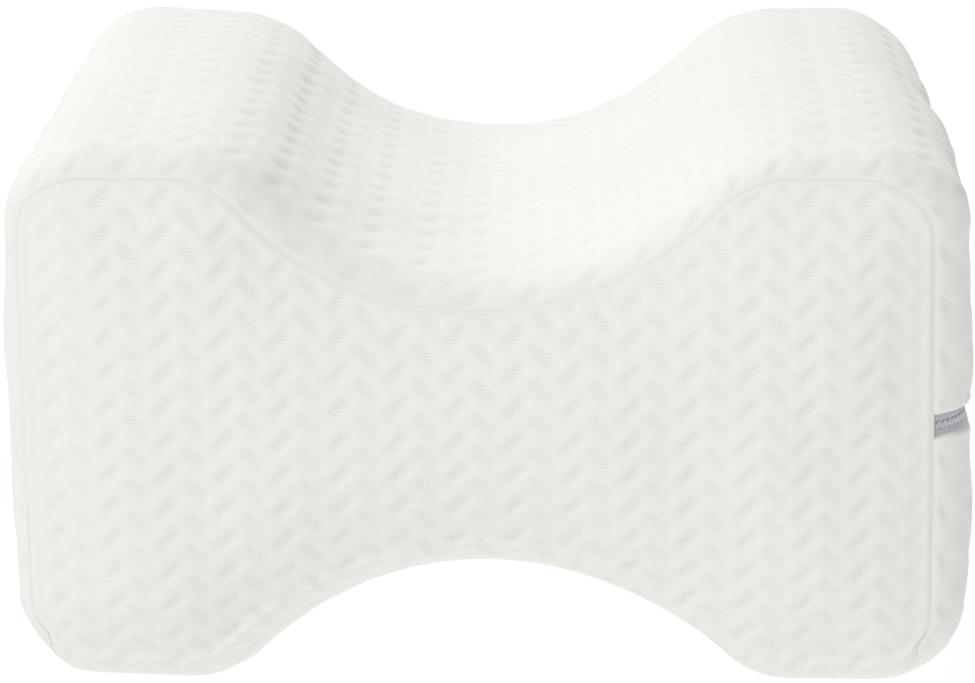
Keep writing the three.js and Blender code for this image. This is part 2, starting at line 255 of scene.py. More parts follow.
# Vertices in millimetres, faces as rows of four or three indices; the signed volume tells whether they
# face out, and they are turned round where they don't.
def makeMesh(name, vertices, quads, triangles=None, uv=None, attributes=None):
    vertices = np.asarray(vertices, dtype=float)
    triangles = np.zeros((0, 3), int) if triangles is None else np.asarray(triangles)
    a, b, c, d = vertices[quads].transpose(1, 0, 2)
    volume = signedVolume(a, b, c) + signedVolume(a, c, d)
    volume += signedVolume(*vertices[triangles].transpose(1, 0, 2))
    if volume < 0:
        quads, triangles = quads[:, ::-1], triangles[:, ::-1]
    loops = np.r_[quads.ravel(), triangles.ravel()].astype(np.int32)
    totals = np.r_[np.full(len(quads), 4), np.full(len(triangles), 3)].astype(np.int32)
    starts = np.r_[0, np.cumsum(totals)[:-1]].astype(np.int32)
    mesh = bpy.data.meshes.new(name)
    mesh.vertices.add(len(vertices))
    mesh.vertices.foreach_set("co", (vertices * mm).ravel())
    mesh.loops.add(len(loops))
    mesh.loops.foreach_set("vertex_index", loops)
    mesh.polygons.add(len(totals))
    mesh.polygons.foreach_set("loop_start", starts)
    mesh.update(calc_edges=True)
    mesh.validate()
    mesh.polygons.foreach_set("use_smooth", np.ones(len(mesh.polygons), bool))
    if uv is not None:
        layer = mesh.uv_layers.new(name="knitUV")
        corner = np.zeros(len(mesh.loops), np.int32)
        mesh.loops.foreach_get("vertex_index", corner)
        layer.data.foreach_set("uv", np.asarray(uv, dtype=float)[corner].ravel())
    for key, values in (attributes or {}).items():
        layer = mesh.attributes.new(key, "FLOAT", "POINT")
        layer.data.foreach_set("value", np.asarray(values, dtype=float).ravel())
    piece = bpy.data.objects.new(name, mesh)
    scene.collection.objects.link(piece)
    return piece


# The values of a grid's points, with zeros for the points that come after them.
def withZeros(values, extra):
    return np.concatenate([values, np.zeros((extra,) + values.shape[1:])])


# Quads between two rings of points that lie one after the other, each given by its indices.
def ringFaces(ring, nextRing):
    return np.stack([ring, np.roll(ring, -1), np.roll(nextRing, -1), nextRing], axis=-1)


# The hidden back under a seam: a tuck below the ring, a smaller ring further in, and triangles to a
# middle point. It starts at a given index, after the points that are there; turned, it faces the other way.
def hiddenBack(ring, start, turned):
    here = np.arange(len(ring))
    tuck, inner = start + here, start + len(ring) + here
    quads = np.vstack([ringFaces(ring, tuck), ringFaces(tuck, inner)])
    middle = np.full(len(ring), start + 2 * len(ring))
    triangles = np.stack([inner, np.roll(inner, -1), middle], axis=-1)
    return (quads[:, ::-1], triangles[:, ::-1]) if turned else (quads, triangles)


band = {
    "cellsAlong": 600, "cellsAcross": 152,
    "edgeCloser": 2.2, "edgeCloserReach": 2.5, "zipCloser": 2.6, "zipCloserReach": 5.0, "underWider": 0.6,
    "columnPhase": -1.5, "rowPhase": 2.0,
    "fadeFrom": 0.5, "fadeTo": 2.6,
    "seamDip": 0.45, "seamDipWidth": 0.85, "tuck": 2.0,
    "slack": 0.35, "slackSize": 46.0, "slackSeed": 5, "slackRise": 14.0,
    "dents": 0.3, "dentSize": 24.0, "dentSeed": 8, "dentShape": [1, 1.6, 0.7],
    "underFacing": (0.3, 0.9), "sideFacing": (0.7, 0.95), "calmFacing": (0.25, 0.8), "underCalm": 0.65,
    "zipZ": 73.0, "zipHalf": 3.0, "zipDepth": 2.1, "zipEdge": 0.5, "sideX": 100.0, "sideSteps": 4000,
    "zipLip": 0.3, "zipLipAt": 1.3, "zipLipWidth": 0.9, "zipClearFrom": 3.0, "zipClearTo": 11.0,
    # The first value below is how far the painted shade along the seam's groove reaches, in millimetres.
    "seamShadeWidth": 2.2, "innerY": 68.0, "innerShare": 0.5,
}


# Length along the outline at which the right side passes a height.
def sideAlong(z):
    samples = np.linspace(0, girth / 2, band["sideSteps"])
    points, _ = outlineAt(samples)
    passed = (points[:, 0] > band["sideX"]) & (points[:, 1] < z)
    return samples[np.nonzero(passed)[0][0]]


zipAlong = sideAlong(band["zipZ"])


# Steps between two ends, packed by a density: equal shares of its running total.
def packedSteps(low, high, count, density, closed=False, samples=8000):
    s = np.linspace(low, high, samples)
    weight = density(s)
    total = np.r_[0, np.cumsum((weight[1:] + weight[:-1]) / 2 * np.diff(s))]
    return np.interp(np.linspace(0, total[-1], count, endpoint=not closed), total, s)


# Along the band the grid is closer at the zip's groove and wider underneath.
def alongDensity(s):
    under = smoothstep(*band["underFacing"], -outlineAt(s)[1][:, 1])
    atZip = np.exp(-((s - zipAlong) / band["zipCloserReach"]) ** 4)
    return (1 - band["underWider"] * under) * (1 + band["zipCloser"] * atZip)


# Across the band it is closer at the seams.
def acrossDensity(w):
    return 1 + band["edgeCloser"] * np.exp((np.abs(w) - seamReach) / band["edgeCloserReach"])


# The zip's groove, one inside it and nothing outside, and the lip, a bell on each side of it.
def zipGroove(along):
    away = np.abs(along - zipAlong)
    groove = 1 - smoothstep(band["zipHalf"] - band["zipEdge"], band["zipHalf"] + band["zipEdge"], away)
    lip = np.exp(-((away - band["zipHalf"] - band["zipLipAt"]) / band["zipLipWidth"]) ** 2)
    return groove, lip


# The band is the plain surface lifted by the knit's relief and by slack, lowered at the seams and in
# the zip's groove, and moved as the cloth was.
def makeBand():
    s = packedSteps(0, girth, band["cellsAlong"], alongDensity, True)
    w = packedSteps(-seamReach, seamReach, band["cellsAcross"] + 1, acrossDensity)
    along, across = np.meshgrid(s, w)
    onGrid = np.repeat(w[:, None], len(s), axis=1)
    upDown = outlineAt(s)[1][None, :, 1]
    u = np.where(along > girth / 2, along - girth, along) - band["columnPhase"]
    share = seamShare(*outlineAt(s))[None, :]
    edge = np.clip(np.abs(across) - flatHalf, 0, None)
    across = np.sign(across) * (np.abs(across) - edge * (1 - share))    # true length over the edge
    relief, sunken = knitHeight(
        u, across - band["rowPhase"], knit["bandColumn"], knit["bandRow"],
        knit["bandOval"], knit["bandDepth"], knit["bandLeftShare"])
    fromSeam = flatHalf + (seamReach - flatHalf) * share - np.abs(across)
    groove, lip = zipGroove(along)
    fade = smoothstep(band["fadeFrom"], band["fadeTo"], fromSeam) * (1 - np.clip(groove + lip, 0, 1))
    dip = band["seamDip"] * np.exp(-(fromSeam / band["seamDipWidth"]) ** 2)
    places = bandSurface(along, onGrid, np.zeros_like(along))
    onSide = smoothstep(*band["sideFacing"], np.abs(outlineAt(s)[1][None, :, 0]))
    slack = band["slack"] * softNoise(places, band["slackSize"], band["slackSeed"])
    dents = softNoise(places * band["dentShape"], band["dentSize"], band["dentSeed"])
    slack += band["dents"] * onSide * dents
    offZip = smoothstep(band["zipClearFrom"], band["zipClearTo"], np.abs(along - zipAlong))
    slack *= offZip * smoothstep(0, band["slackRise"], fromSeam)
    calm = 1 - band["underCalm"] * smoothstep(*band["calmFacing"], -upDown)    # pressed below the block
    lift = (relief * fade + slack) * calm - dip - slimBy(fromSeam)
    lift += band["zipLip"] * lip - band["zipDepth"] * groove
    surface = bandSurface(along, onGrid, lift)
    if moved:
        surface += spread(*moved["band"], w, s, True) * offZip[..., None]
    surface[..., 2] = np.maximum(surface[..., 2], 0.0)
    count = len(s)
    vertices, quads, triangles = surface.reshape(-1, 3), [gridFaces(len(w), count, True)], []
    for side, row in ((-1, 0), (1, len(w) - 1)):
        centre = np.array([centreShift, side * band["innerY"], block["middleZ"]])
        tuck = bandSurface(s, np.full_like(s, w[row]), lift[row] - band["tuck"])
        inner = centre + (tuck - centre) * band["innerShare"]
        inner[:, 1] = side * band["innerY"]
        backQuads, backTriangles = hiddenBack(row * count + np.arange(count), len(vertices), side < 0)
        vertices = np.vstack([vertices, tuck, inner, centre[None]])
        quads.append(backQuads)
        triangles.append(backTriangles)
    extra = len(vertices) - along.size
    uv = np.c_[(u / knit["bandColumn"]).ravel(), ((across - band["rowPhase"]) / knit["bandRow"]).ravel()]
    # Mask of the painted shade along the seam's groove.
    seamShadeMask = np.exp(-(fromSeam / band["seamShadeWidth"]) ** 2)
    return makeMesh(
        "coverBand", vertices, np.vstack(quads), np.vstack(triangles), uv=withZeros(uv, extra),
        attributes={"sunken": withZeros((sunken * fade).ravel(), extra),
                    "seamShadeMask": withZeros(seamShadeMask.ravel(), extra)},
    )


panels = {
    "cellsAcross": 476, "cellsUp": 188,
    "crown": 7.5, "crownReach": 46.0,
    "passes": 300, "widerSteps": 2.3, "softness": 3.0, "rimSteps": 1200, "blockSize": 4000,
    "rimCloser": 1.4, "rimCloserReach": 0.02, "cornerSteps": 6000, "cornerPast": (90, 30),
    "rimTurnWidth": 0.8,
    "ridge": 0.12, "ridgeFrom": 1.7, "ridgeWidth": 1.0,
    "fadeFrom": 0.6, "fadeTo": 2.6, "sideFadeTo": 8.0,
    "columnPhase": -8.2, "rowPhase": 79.5,
    "slack": 0.3, "slackSize": 38.0, "slackSeed": 11, "slackFrom": 2.0, "slackTo": 14.0,
    # The third value below is how far the painted shade along the seam's groove reaches, in millimetres.
    "sideFrom": 88.0, "sideTo": 112.0, "seamShadeWidth": 1.6, "innerY": 74.0, "innerShare": 0.5,
}


# The seam line of one end, as the band's edge gives it.
def seamLine(along, side):
    return bandSurface(along, np.full_like(along, side * seamReach), np.zeros_like(along))


# A patch between four edges: opposite ones are blended linearly and added, and the blend of the four
# corners is taken off.
def edgePatch(top, bottom, left, right, u, v):
    u, v = u[None, :, None], v[:, None, None]
    ruled = (1 - v) * bottom[None] + v * top[None] + (1 - u) * left[:, None] + u * right[:, None]
    low = (1 - u) * (1 - v) * bottom[0] + u * (1 - v) * bottom[-1]
    high = (1 - u) * v * top[0] + u * v * top[-1]
    return ruled - (low + high)


# Evens out the inside of a patch: each point moves to the mean of its neighbours, weighted by the
# steps between them, so that the cells beside the rounded corners don't fold.
def relaxPatch(patch, u, v, passes):
    stepsU, stepsV = np.diff(u), np.diff(v)
    beforeU, afterU = stepsU[:-1][None, :, None], stepsU[1:][None, :, None]
    beforeV, afterV = stepsV[:-1][:, None, None], stepsV[1:][:, None, None]
    shareU = 1 / (beforeU * afterU)
    shareV = 1 / (beforeV * afterV)
    for _ in range(passes):
        meanU = (patch[1:-1, :-2] * afterU + patch[1:-1, 2:] * beforeU) / (beforeU + afterU)
        meanV = (patch[:-2, 1:-1] * afterV + patch[2:, 1:-1] * beforeV) / (beforeV + afterV)
        patch[1:-1, 1:-1] = (meanU * shareU + meanV * shareV) / (shareU + shareV)
    return patch


# Each point's place against the rim: the plain distance with the way in, a distance softened by a
# log-sum-exp with its gradient, and the angle of the rounded edge at which the panel ends near there.
def rimField(points, rim, angles, softness):
    run = np.roll(rim, -1, axis=0) - np.roll(rim, 1, axis=0)
    step = np.hypot(*run.T) / 2
    inward = np.c_[run[:, 1], -run[:, 0]] / (2 * step)[:, None]
    inward *= np.sign(((rim.mean(axis=0) - rim) * inward).sum())
    plain, soft, turned = np.empty(len(points)), np.empty(len(points)), np.empty(len(points))
    wayIn, softWay = np.empty((len(points), 2)), np.empty((len(points), 2))
    for start in range(0, len(points), panels["blockSize"]):    # in blocks, to keep memory small
        part = slice(start, start + panels["blockSize"])
        apart = points[part, None] - rim[None]
        gap = np.hypot(apart[..., 0], apart[..., 1])
        nearest = gap.argmin(axis=1)
        near = gap.min(axis=1)
        rows = np.arange(len(near))
        plain[part] = np.maximum((apart[rows, nearest] * inward[nearest]).sum(axis=1), 0)
        wayIn[part] = inward[nearest]
        weight = np.exp(-(gap - near[:, None]) / softness) * step[None]
        total = weight.sum(axis=1)
        soft[part] = near - softness * np.log(total / (2 * softness))
        softWay[part] = ((weight / np.maximum(gap, 0.05))[..., None] * apart).sum(axis=1) / total[:, None]
        turned[part] = (weight * angles[None]).sum(axis=1) / total
    return plain, wayIn, np.maximum(soft, 0), softWay, turned


# The seam's lengths at the four rounded corners, where the normal points most along the diagonal.
def cornerAlongs():
    samples = np.linspace(0, girth, panels["cornerSteps"], endpoint=False)
    pastX, pastZ = panels["cornerPast"]
    points, normals = outlineAt(samples)
    corner = {}
    for key, sx, sz in (("topRight", 1, 1), ("lowRight", 1, -1), ("lowLeft", -1, -1), ("topLeft", -1, 1)):
        fits = (points[:, 0] * sx > pastX) & ((points[:, 1] - block["middleZ"]) * sz > pastZ)
        corner[key] = samples[fits][np.argmax((normals[fits] * [sx, sz]).sum(axis=1))]
    return corner


# Lengths along the seam of a panel's four edges, at its own steps across (u) and up (v).
def edgeAlongs(u, v):
    corner = cornerAlongs()
    top = corner["topLeft"] - girth + (corner["topRight"] - corner["topLeft"] + girth) * u
    bottom = corner["lowLeft"] + (corner["lowRight"] - corner["lowLeft"]) * u
    right = corner["lowRight"] + (corner["topRight"] - corner["lowRight"]) * v
    left = corner["lowLeft"] + (corner["topLeft"] - corner["lowLeft"]) * v
    return top, bottom, left, right


# A panel's plain form: the flat places of its grid, the height over mid-depth, the way out and the
# distance to the seam. The edge goes on round as a circle from the seam's angle, then the crown rises
# as one minus the cube of what is left of its reach.
def panelShape(side, u, v):
    edges = [seamLine(along, side)[:, [0, 2]] for along in edgeAlongs(u, v)]
    flat = relaxPatch(edgePatch(*edges, u, v), u * panels["widerSteps"], v, panels["passes"]).reshape(-1, 2)
    rimAlong = np.linspace(0, girth, panels["rimSteps"], endpoint=False)
    rim = seamLine(rimAlong, side)[:, [0, 2]]
    rimAngle = seamShare(*outlineAt(rimAlong)) * block["seamAngle"]
    fromRim, wayIn, soft, softWay, rimTurned = rimField(flat, rim, rimAngle, panels["softness"])
    radius = block["edgeRadius"]
    inset = radius * (1 - np.cos(rimTurned)) + fromRim
    turned = np.minimum(np.arccos(np.clip(1 - inset / radius, 0, 1)), block["seamAngle"])
    edgeDrop = radius * (math.sin(block["seamAngle"]) - np.sin(turned))
    covered = radius * (np.cos(rimTurned) - math.cos(block["seamAngle"]))
    crownPart = np.clip((soft - covered) / panels["crownReach"], 0, 1)
    height = block["planeY"] - radius * (1 - math.sin(block["seamAngle"])) - edgeDrop
    height += panels["crown"] * (1 - (1 - crownPart) ** 3)
    steepest = 3 * panels["crown"] / panels["crownReach"]
    crownSlope = np.where(crownPart > 0, steepest * (1 - crownPart) ** 2, 0)
    edgeSlope = np.where(turned < block["seamAngle"] - 1e-6, 1 / np.tan(turned), 0)
    slope = softWay * crownSlope[:, None] + wayIn * edgeSlope[:, None]
    facing = np.c_[-slope[:, 0], np.full(len(flat), float(side)), -slope[:, 1]]
    facing /= np.linalg.norm(facing, axis=1)[:, None]
    return flat, height, facing, fromRim


# Indices of a grid's rim, once round.
def gridRing(rows, columns):
    index = np.arange(rows * columns).reshape(rows, columns)
    return np.r_[index[0, :-1], index[:-1, -1], index[-1, :0:-1], index[:0:-1, 0]]


cloth = {
    "across": 53, "up": 25, "bandRows": 35,
    "pressure": 4.0, "frames": 20, "cap": 1.5,
    "slim": 0.8, "slimReach": 14.0,        # how much the start is slimmer, away from the seams
    "stiffness": 12.0, "bending": 1.5, "mass": 0.25, "quality": 6,
    "seamHeld": 0.1, "zipHeld": 5.0,
    "calming": 5, "evenings": 24,
}


# How much slimmer the cover starts: nothing at the seam, then growing as one minus an exponential.
def slimBy(fromSeam):
    return cloth["slim"] * (1 - np.exp(-np.clip(fromSeam, 0, None) / cloth["slimReach"]))


# Evens a grid with a running mean of one, two and one parts, again and again; its ends stay as they are.
def evened(grid, passes, closed):
    grid = grid.copy()
    for _ in range(passes):
        if closed:
            grid = (np.roll(grid, 1, axis=1) + grid * 2 + np.roll(grid, -1, axis=1)) / 4
        else:
            grid[:, 1:-1] = (grid[:, :-2] + grid[:, 1:-1] * 2 + grid[:, 2:]) / 4
        grid[1:-1] = (grid[:-2] + grid[1:-1] * 2 + grid[2:]) / 4
    return grid


# Reads a grid's rows at new steps, linearly between the old ones.
def stepAcross(grid, oldSteps, newSteps):
    place = np.interp(newSteps, oldSteps, np.arange(len(oldSteps)))
    before = np.minimum(place.astype(int), len(oldSteps) - 2)
    part = (place - before)[:, None, None]
    return grid[before] * (1 - part) + grid[before + 1] * part


# Evens a grid of moves, blends it to finer steps, linearly each way, and evens it again.
def spread(grid, coarseRows, coarseColumns, rows, columns, closed):
    grid = evened(grid, cloth["calming"], closed)
    if closed:
        grid = np.concatenate([grid[:, -2:], grid, grid[:, :2]], axis=1)
        coarseColumns = np.r_[coarseColumns[-2:] - girth, coarseColumns, coarseColumns[:2] + girth]
    between = stepAcross(grid.transpose(1, 0, 2), coarseColumns, columns).transpose(1, 0, 2)
    return evened(stepAcross(between, coarseRows, rows), cloth["evenings"], closed)


# The closed cage of the band and both panels in coarse steps, slimmer than the cover: its points, its
# faces, its columns' lengths round the band, each panel's places among the points, and the held points.
def makeCage(u, v, w):
    top, bottom, left, right = edgeAlongs(u, v)
    ringAlong = np.r_[bottom[:-1], right[:-1], top[:0:-1], left[:0:-1]]
    count = len(ringAlong)
    along, across = np.meshgrid(ringAlong, w)
    fromSeam = seamReach - np.abs(across)
    vertices = [bandSurface(along, across, -slimBy(fromSeam)).reshape(-1, 3)]
    faces = [gridFaces(len(w), count, True)]
    ring = gridRing(len(v), len(u))
    inside = np.setdiff1d(np.arange(len(u) * len(v)), ring)
    panelIndex = {}
    for side, row in ((-1, 0), (1, len(w) - 1)):
        flat, height, facing, fromRim = panelShape(side, u, v)
        index = np.empty(len(flat), int)
        index[ring] = row * count + np.arange(count)
        index[inside] = sum(len(part) for part in vertices) + np.arange(len(inside))
        points = np.c_[flat[:, 0], side * height, flat[:, 1]] - facing * slimBy(fromRim)[:, None]
        vertices.append(points[inside])
        faces.append(index[gridFaces(len(v), len(u), False)])
        panelIndex[side] = index
    vertices = np.vstack(vertices)
    middle = np.array([centreShift, 0, block["middleZ"]])
    for k, quads in enumerate(faces):    # each part faces out
        a, b, c, _ = (vertices[quads] - middle).transpose(1, 0, 2)
        if signedVolume(a, b, c) < 0:
            faces[k] = quads[:, ::-1]
    nearZip = np.abs(np.mod(along - zipAlong + girth / 2, girth) - girth / 2) < cloth["zipHeld"]
    held = np.nonzero((nearZip | (fromSeam < cloth["seamHeld"])).ravel())[0]
    return vertices, np.vstack(faces), np.mod(ringAlong, girth), panelIndex, held


# The cage is blown up as cloth, held at the seams and along the zip. Its points' moves, capped, come
# back as a coarse grid for each piece, with the grid's own steps.
def blowUp():
    u, v = np.linspace(0, 1, cloth["across"]), np.linspace(0, 1, cloth["up"])
    w = np.linspace(-seamReach, seamReach, cloth["bandRows"])
    vertices, faces, ringAlong, panelIndex, held = makeCage(u, v, w)
    cage = makeMesh("clothCage", vertices, faces)
    cage.vertex_groups.new(name="held").add(held.tolist(), 1.0, "REPLACE")
    blower = cage.modifiers.new("blower", "CLOTH")
    settings = blower.settings
    settings.vertex_group_mass = "held"
    settings.use_pressure, settings.uniform_pressure_force = True, cloth["pressure"]
    settings.effector_weights.gravity = 0
    settings.mass, settings.quality = cloth["mass"], cloth["quality"]
    settings.tension_stiffness = settings.compression_stiffness = cloth["stiffness"]
    settings.shear_stiffness, settings.bending_stiffness = cloth["stiffness"] / 2, cloth["bending"]
    blower.point_cache.frame_start, blower.point_cache.frame_end = 1, cloth["frames"]
    for frameNumber in range(1, cloth["frames"] + 1):
        scene.frame_set(frameNumber)
    blown = cage.evaluated_get(bpy.context.evaluated_depsgraph_get()).data
    places = np.empty(len(blown.vertices) * 3)
    blown.vertices.foreach_get("co", places)
    moves = places.reshape(-1, 3) / mm - vertices
    cageMesh = cage.data
    bpy.data.objects.remove(cage)
    bpy.data.meshes.remove(cageMesh)
    scene.frame_set(1)
    length = np.linalg.norm(moves, axis=1)
    print("cloth: moved by %.2f mm on average, %.2f at most" % (length.mean(), length.max()))
    moves *= np.minimum(1, cloth["cap"] / np.maximum(length, 1e-9))[:, None]
    order = np.argsort(ringAlong)
    bandMoves = moves[:len(w) * len(ringAlong)].reshape(len(w), -1, 3)[:, order]
    result = {"band": (bandMoves, w, ringAlong[order])}
    for side, index in panelIndex.items():
        result[side] = (moves[index].reshape(len(v), len(u), 3), v, u)
    return result


# Steps across or up a panel are closer at the rim.
def rimDensity(at):
    reach = panels["rimCloserReach"]
    return 1 + panels["rimCloser"] * (np.exp(-at / reach) + np.exp((at - 1) / reach))


# A panel is its plain form lifted by the knit's relief, a low ridge inside the seam and slack, and
# moved as the cloth was.
def makePanel(name, side):
    columns, rows = panels["cellsAcross"] + 1, panels["cellsUp"] + 1
    u, v = packedSteps(0, 1, columns, rimDensity), packedSteps(0, 1, rows, rimDensity)
    flat, height, facing, fromRim = panelShape(side, u, v)
    x, z = flat[:, 0], flat[:, 1]
    across, up = x - panels["columnPhase"], z - panels["rowPhase"]
    relief, sunken = knitHeight(
        across, up, knit["frontColumn"], knit["frontRow"], knit["panelOval"], knit["panelDepth"], 1.0)
    atSide = smoothstep(panels["sideFrom"], panels["sideTo"], np.abs(x - centreShift))
    fadeTo = panels["fadeTo"] + (panels["sideFadeTo"] - panels["fadeTo"]) * atSide
    fade = smoothstep(panels["fadeFrom"], fadeTo, fromRim)
    turn = band["seamDip"] * np.exp(-(fromRim / panels["rimTurnWidth"]) ** 2)
    ridge = panels["ridge"] * np.exp(-((fromRim - panels["ridgeFrom"]) / panels["ridgeWidth"]) ** 2)
    plain = np.c_[x, side * height, z]
    slack = panels["slack"] * softNoise(plain, panels["slackSize"], panels["slackSeed"] + side)
    slack *= smoothstep(panels["slackFrom"], panels["slackTo"], fromRim)
    vertices = plain + facing * (relief * fade - turn + ridge + slack - slimBy(fromRim))[:, None]
    if moved:
        vertices += spread(*moved[side], v, u, False).reshape(-1, 3)
    vertices[:, 2] = np.maximum(vertices[:, 2], 0)
    ring = gridRing(rows, columns)
    shift = block["panelShift"] if side < 0 else 0
    centre = np.array([centreShift + shift, side * panels["innerY"], block["middleZ"]])
    tuck = vertices[ring] - facing[ring] * band["tuck"]
    inner = centre + (tuck - centre) * panels["innerShare"]
    backQuads, triangles = hiddenBack(ring, len(vertices), True)
    quads = np.vstack([gridFaces(rows, columns, False), backQuads])
    vertices = np.vstack([vertices, tuck, inner, centre[None]])
    extra = len(vertices) - rows * columns
    uv = np.c_[across / knit["frontColumn"], up / knit["frontRow"]]
    # Mask of the painted shade along the seam's groove.
    seamShadeMask = np.exp(-(fromRim / panels["seamShadeWidth"]) ** 2)
    return makeMesh(
        name, vertices, quads, triangles, uv=withZeros(uv, extra),
        attributes={"sunken": withZeros(sunken * fade, extra), "seamShadeMask": withZeros(seamShadeMask, extra)},
    )


zipParts = {
    "toothPitch": 0.8, "toothLength": 0.78, "toothHeight": 1.7, "toothDepth": 0.8,
    "toothOffset": 0.25, "top": 0.95,
    "toothRings": 5, "toothSides": 8, "toothRoundness": 0.7,
    "tapeHalf": 3.3, "tapeDepth": 1.6, "tapeThick": 0.6, "cord": 0.45, "cordAt": 1.75, "cordHalf": 0.38,
    "tapeSteps": 180, "profileSteps": 29, "endAngle": math.radians(63),
}
zipReach = flatHalf + block["edgeRadius"] * zipParts["endAngle"]    # mid-depth to its end, over the edge


# The zip's middle line on the right side, from edge to edge, with its outward direction.
def zipLine(across, depth):
    along = np.full_like(across, zipAlong)
    depth = depth + slimBy(seamReach - np.abs(across))
    at = bandSurface(along, across, -depth)
    out = bandSurface(along, across, 1 - depth) - at
    return at, out


# One tooth of unit size: a squared oval on a grid of angles, with its faces.
def toothShape():
    rings, sides = zipParts["toothRings"], zipParts["toothSides"]
    lat = np.linspace(-math.pi / 2, math.pi / 2, rings + 2)[1:-1]
    lon = np.linspace(0, 2 * math.pi, sides, endpoint=False)
    la, lo = np.meshgrid(lat, lon, indexing="ij")

    def soft(value):
        return np.sign(value) * np.abs(value) ** zipParts["toothRoundness"]

    wide = soft(np.cos(la))
    shape = np.stack([wide * soft(np.cos(lo)), wide * soft(np.sin(lo)), soft(np.sin(la))], -1)
    shape = np.vstack([[[0, 0, -1]], shape.reshape(-1, 3), [[0, 0, 1]]])
    here = 1 + np.arange(sides)
    after = np.roll(here, -1)
    lastRing = (rings - 1) * sides
    low = np.stack([np.zeros(sides, int), after, here], -1)
    high = np.stack([np.full(sides, len(shape) - 1), lastRing + here, lastRing + after], -1)
    return shape, gridFaces(rings, sides, True, 1), np.vstack([low, high])


# The teeth stand along the zip's line, alternately a little above and below it.
def makeTeeth():
    middle = np.arange(-zipReach, zipReach, zipParts["toothPitch"])
    at, out = zipLine(middle, zipParts["top"] + zipParts["toothDepth"] / 2)
    run = np.gradient(at, axis=0)
    run /= np.linalg.norm(run, axis=1)[:, None]
    shape, quads, triangles = toothShape()
    size = np.array([zipParts["toothLength"], zipParts["toothDepth"], zipParts["toothHeight"]]) / 2
    lift = np.where(np.arange(len(middle)) % 2 == 0, 1, -1) * zipParts["toothOffset"]
    length, depth, height = (shape[None, :, k, None] * size[k] for k in range(3))
    up = np.array([0.0, 0.0, 1.0])
    vertices = at[:, None] + length * run[:, None] + depth * out[:, None]
    vertices = vertices + (height + lift[:, None, None]) * up
    step = (np.arange(len(middle)) * len(shape))[:, None, None]
    quads, triangles = quads[None] + step, triangles[None] + step
    return makeMesh("zipTeeth", vertices.reshape(-1, 3), quads.reshape(-1, 4), triangles.reshape(-1, 3))


# Tape: a closed profile carried along the zip's line, flat below and above it a bell-shaped cord
# beside each row of teeth.
def makeTape():
    across = np.linspace(-zipReach, zipReach, zipParts["tapeSteps"])
    upper = np.linspace(-1, 1, zipParts["profileSteps"]) * zipParts["tapeHalf"]
    cords = zipParts["cord"] * np.exp(-((np.abs(upper) - zipParts["cordAt"]) / zipParts["cordHalf"]) ** 2)
    heights = np.r_[upper, upper[::-1]]
    under = np.full(len(upper), zipParts["tapeDepth"] + zipParts["tapeThick"])
    depths = np.r_[zipParts["tapeDepth"] - cords, under]
    rows = np.stack([zipLine(across, depth)[0] + [0, 0, up] for up, depth in zip(heights, depths)], axis=1)
    count = len(heights)
    n = np.arange(len(upper) - 1)
    end = np.stack([n, n + 1, count - 2 - n, count - 1 - n], axis=-1)
    last = (len(across) - 1) * count
    quads = np.vstack([gridFaces(len(across), count, True), end[:, ::-1], end + last])
    return makeMesh("zipTape", rows.reshape(-1, 3), quads)


finish = {
    "panelColor": (0.860, 0.857, 0.812, 1), "bandColor": (0.859, 0.860, 0.823, 1),
    "warmColor": (0.84, 0.79, 0.68, 1), "panelWarmth": 0.35, "bandWarmth": 0.0,
    # Painted shade along the seam's groove: its colour and strength.
    "shadeColor": (0.70, 0.68, 0.64, 1), "seamShade": 0.1,
    # Painted shade in the loops' holes: its colour and strength.
    "holeShadeColor": (0.44, 0.42, 0.38, 1), "holeShade": 0.42,
    "panelLoops": (18, 11), "bandLoops": (17, 13),    # loops across and up in one repeat of the pattern
    "weave": 0.06, "loopBump": 0.35, "loopDepth": 0.0002,        # depth in metres
    "patchScale": 22, "patchFrom": 0.45, "patchGain": 3.0,
    "knitRoughness": 0.9, "knitShine": 0.2, "sheen": 0.25, "sheenRoughness": 0.6,
    "tapeColor": (0.62, 0.62, 0.66, 1), "toothColor": (0.66, 0.66, 0.70, 1),
    "sliderColor": (0.62, 0.63, 0.65, 1),
    "grainScale": 900, "grainDark": 0.82, "grainDepth": 0.0001,
}


# An empty node tree with one Principled shader on its output.
def nodeTree(material):
    material.use_nodes = True
    tree = material.node_tree
    tree.nodes.clear()
    output = tree.nodes.new("ShaderNodeOutputMaterial")
    shader = tree.nodes.new("ShaderNodeBsdfPrincipled")
    tree.links.new(shader.outputs["BSDF"], output.inputs["Surface"])
    return tree, shader


# One math step between numbers or sockets.
def mathNode(tree, operation, a, b=None):
    node = tree.nodes.new("ShaderNodeMath")
    node.operation = operation
    for socket, value in zip(node.inputs, (a, b)):
        if value is None:
            continue
        if isinstance(value, (int, float)):
            socket.default_value = value
        else:
            tree.links.new(value, socket)
    return node.outputs[0]


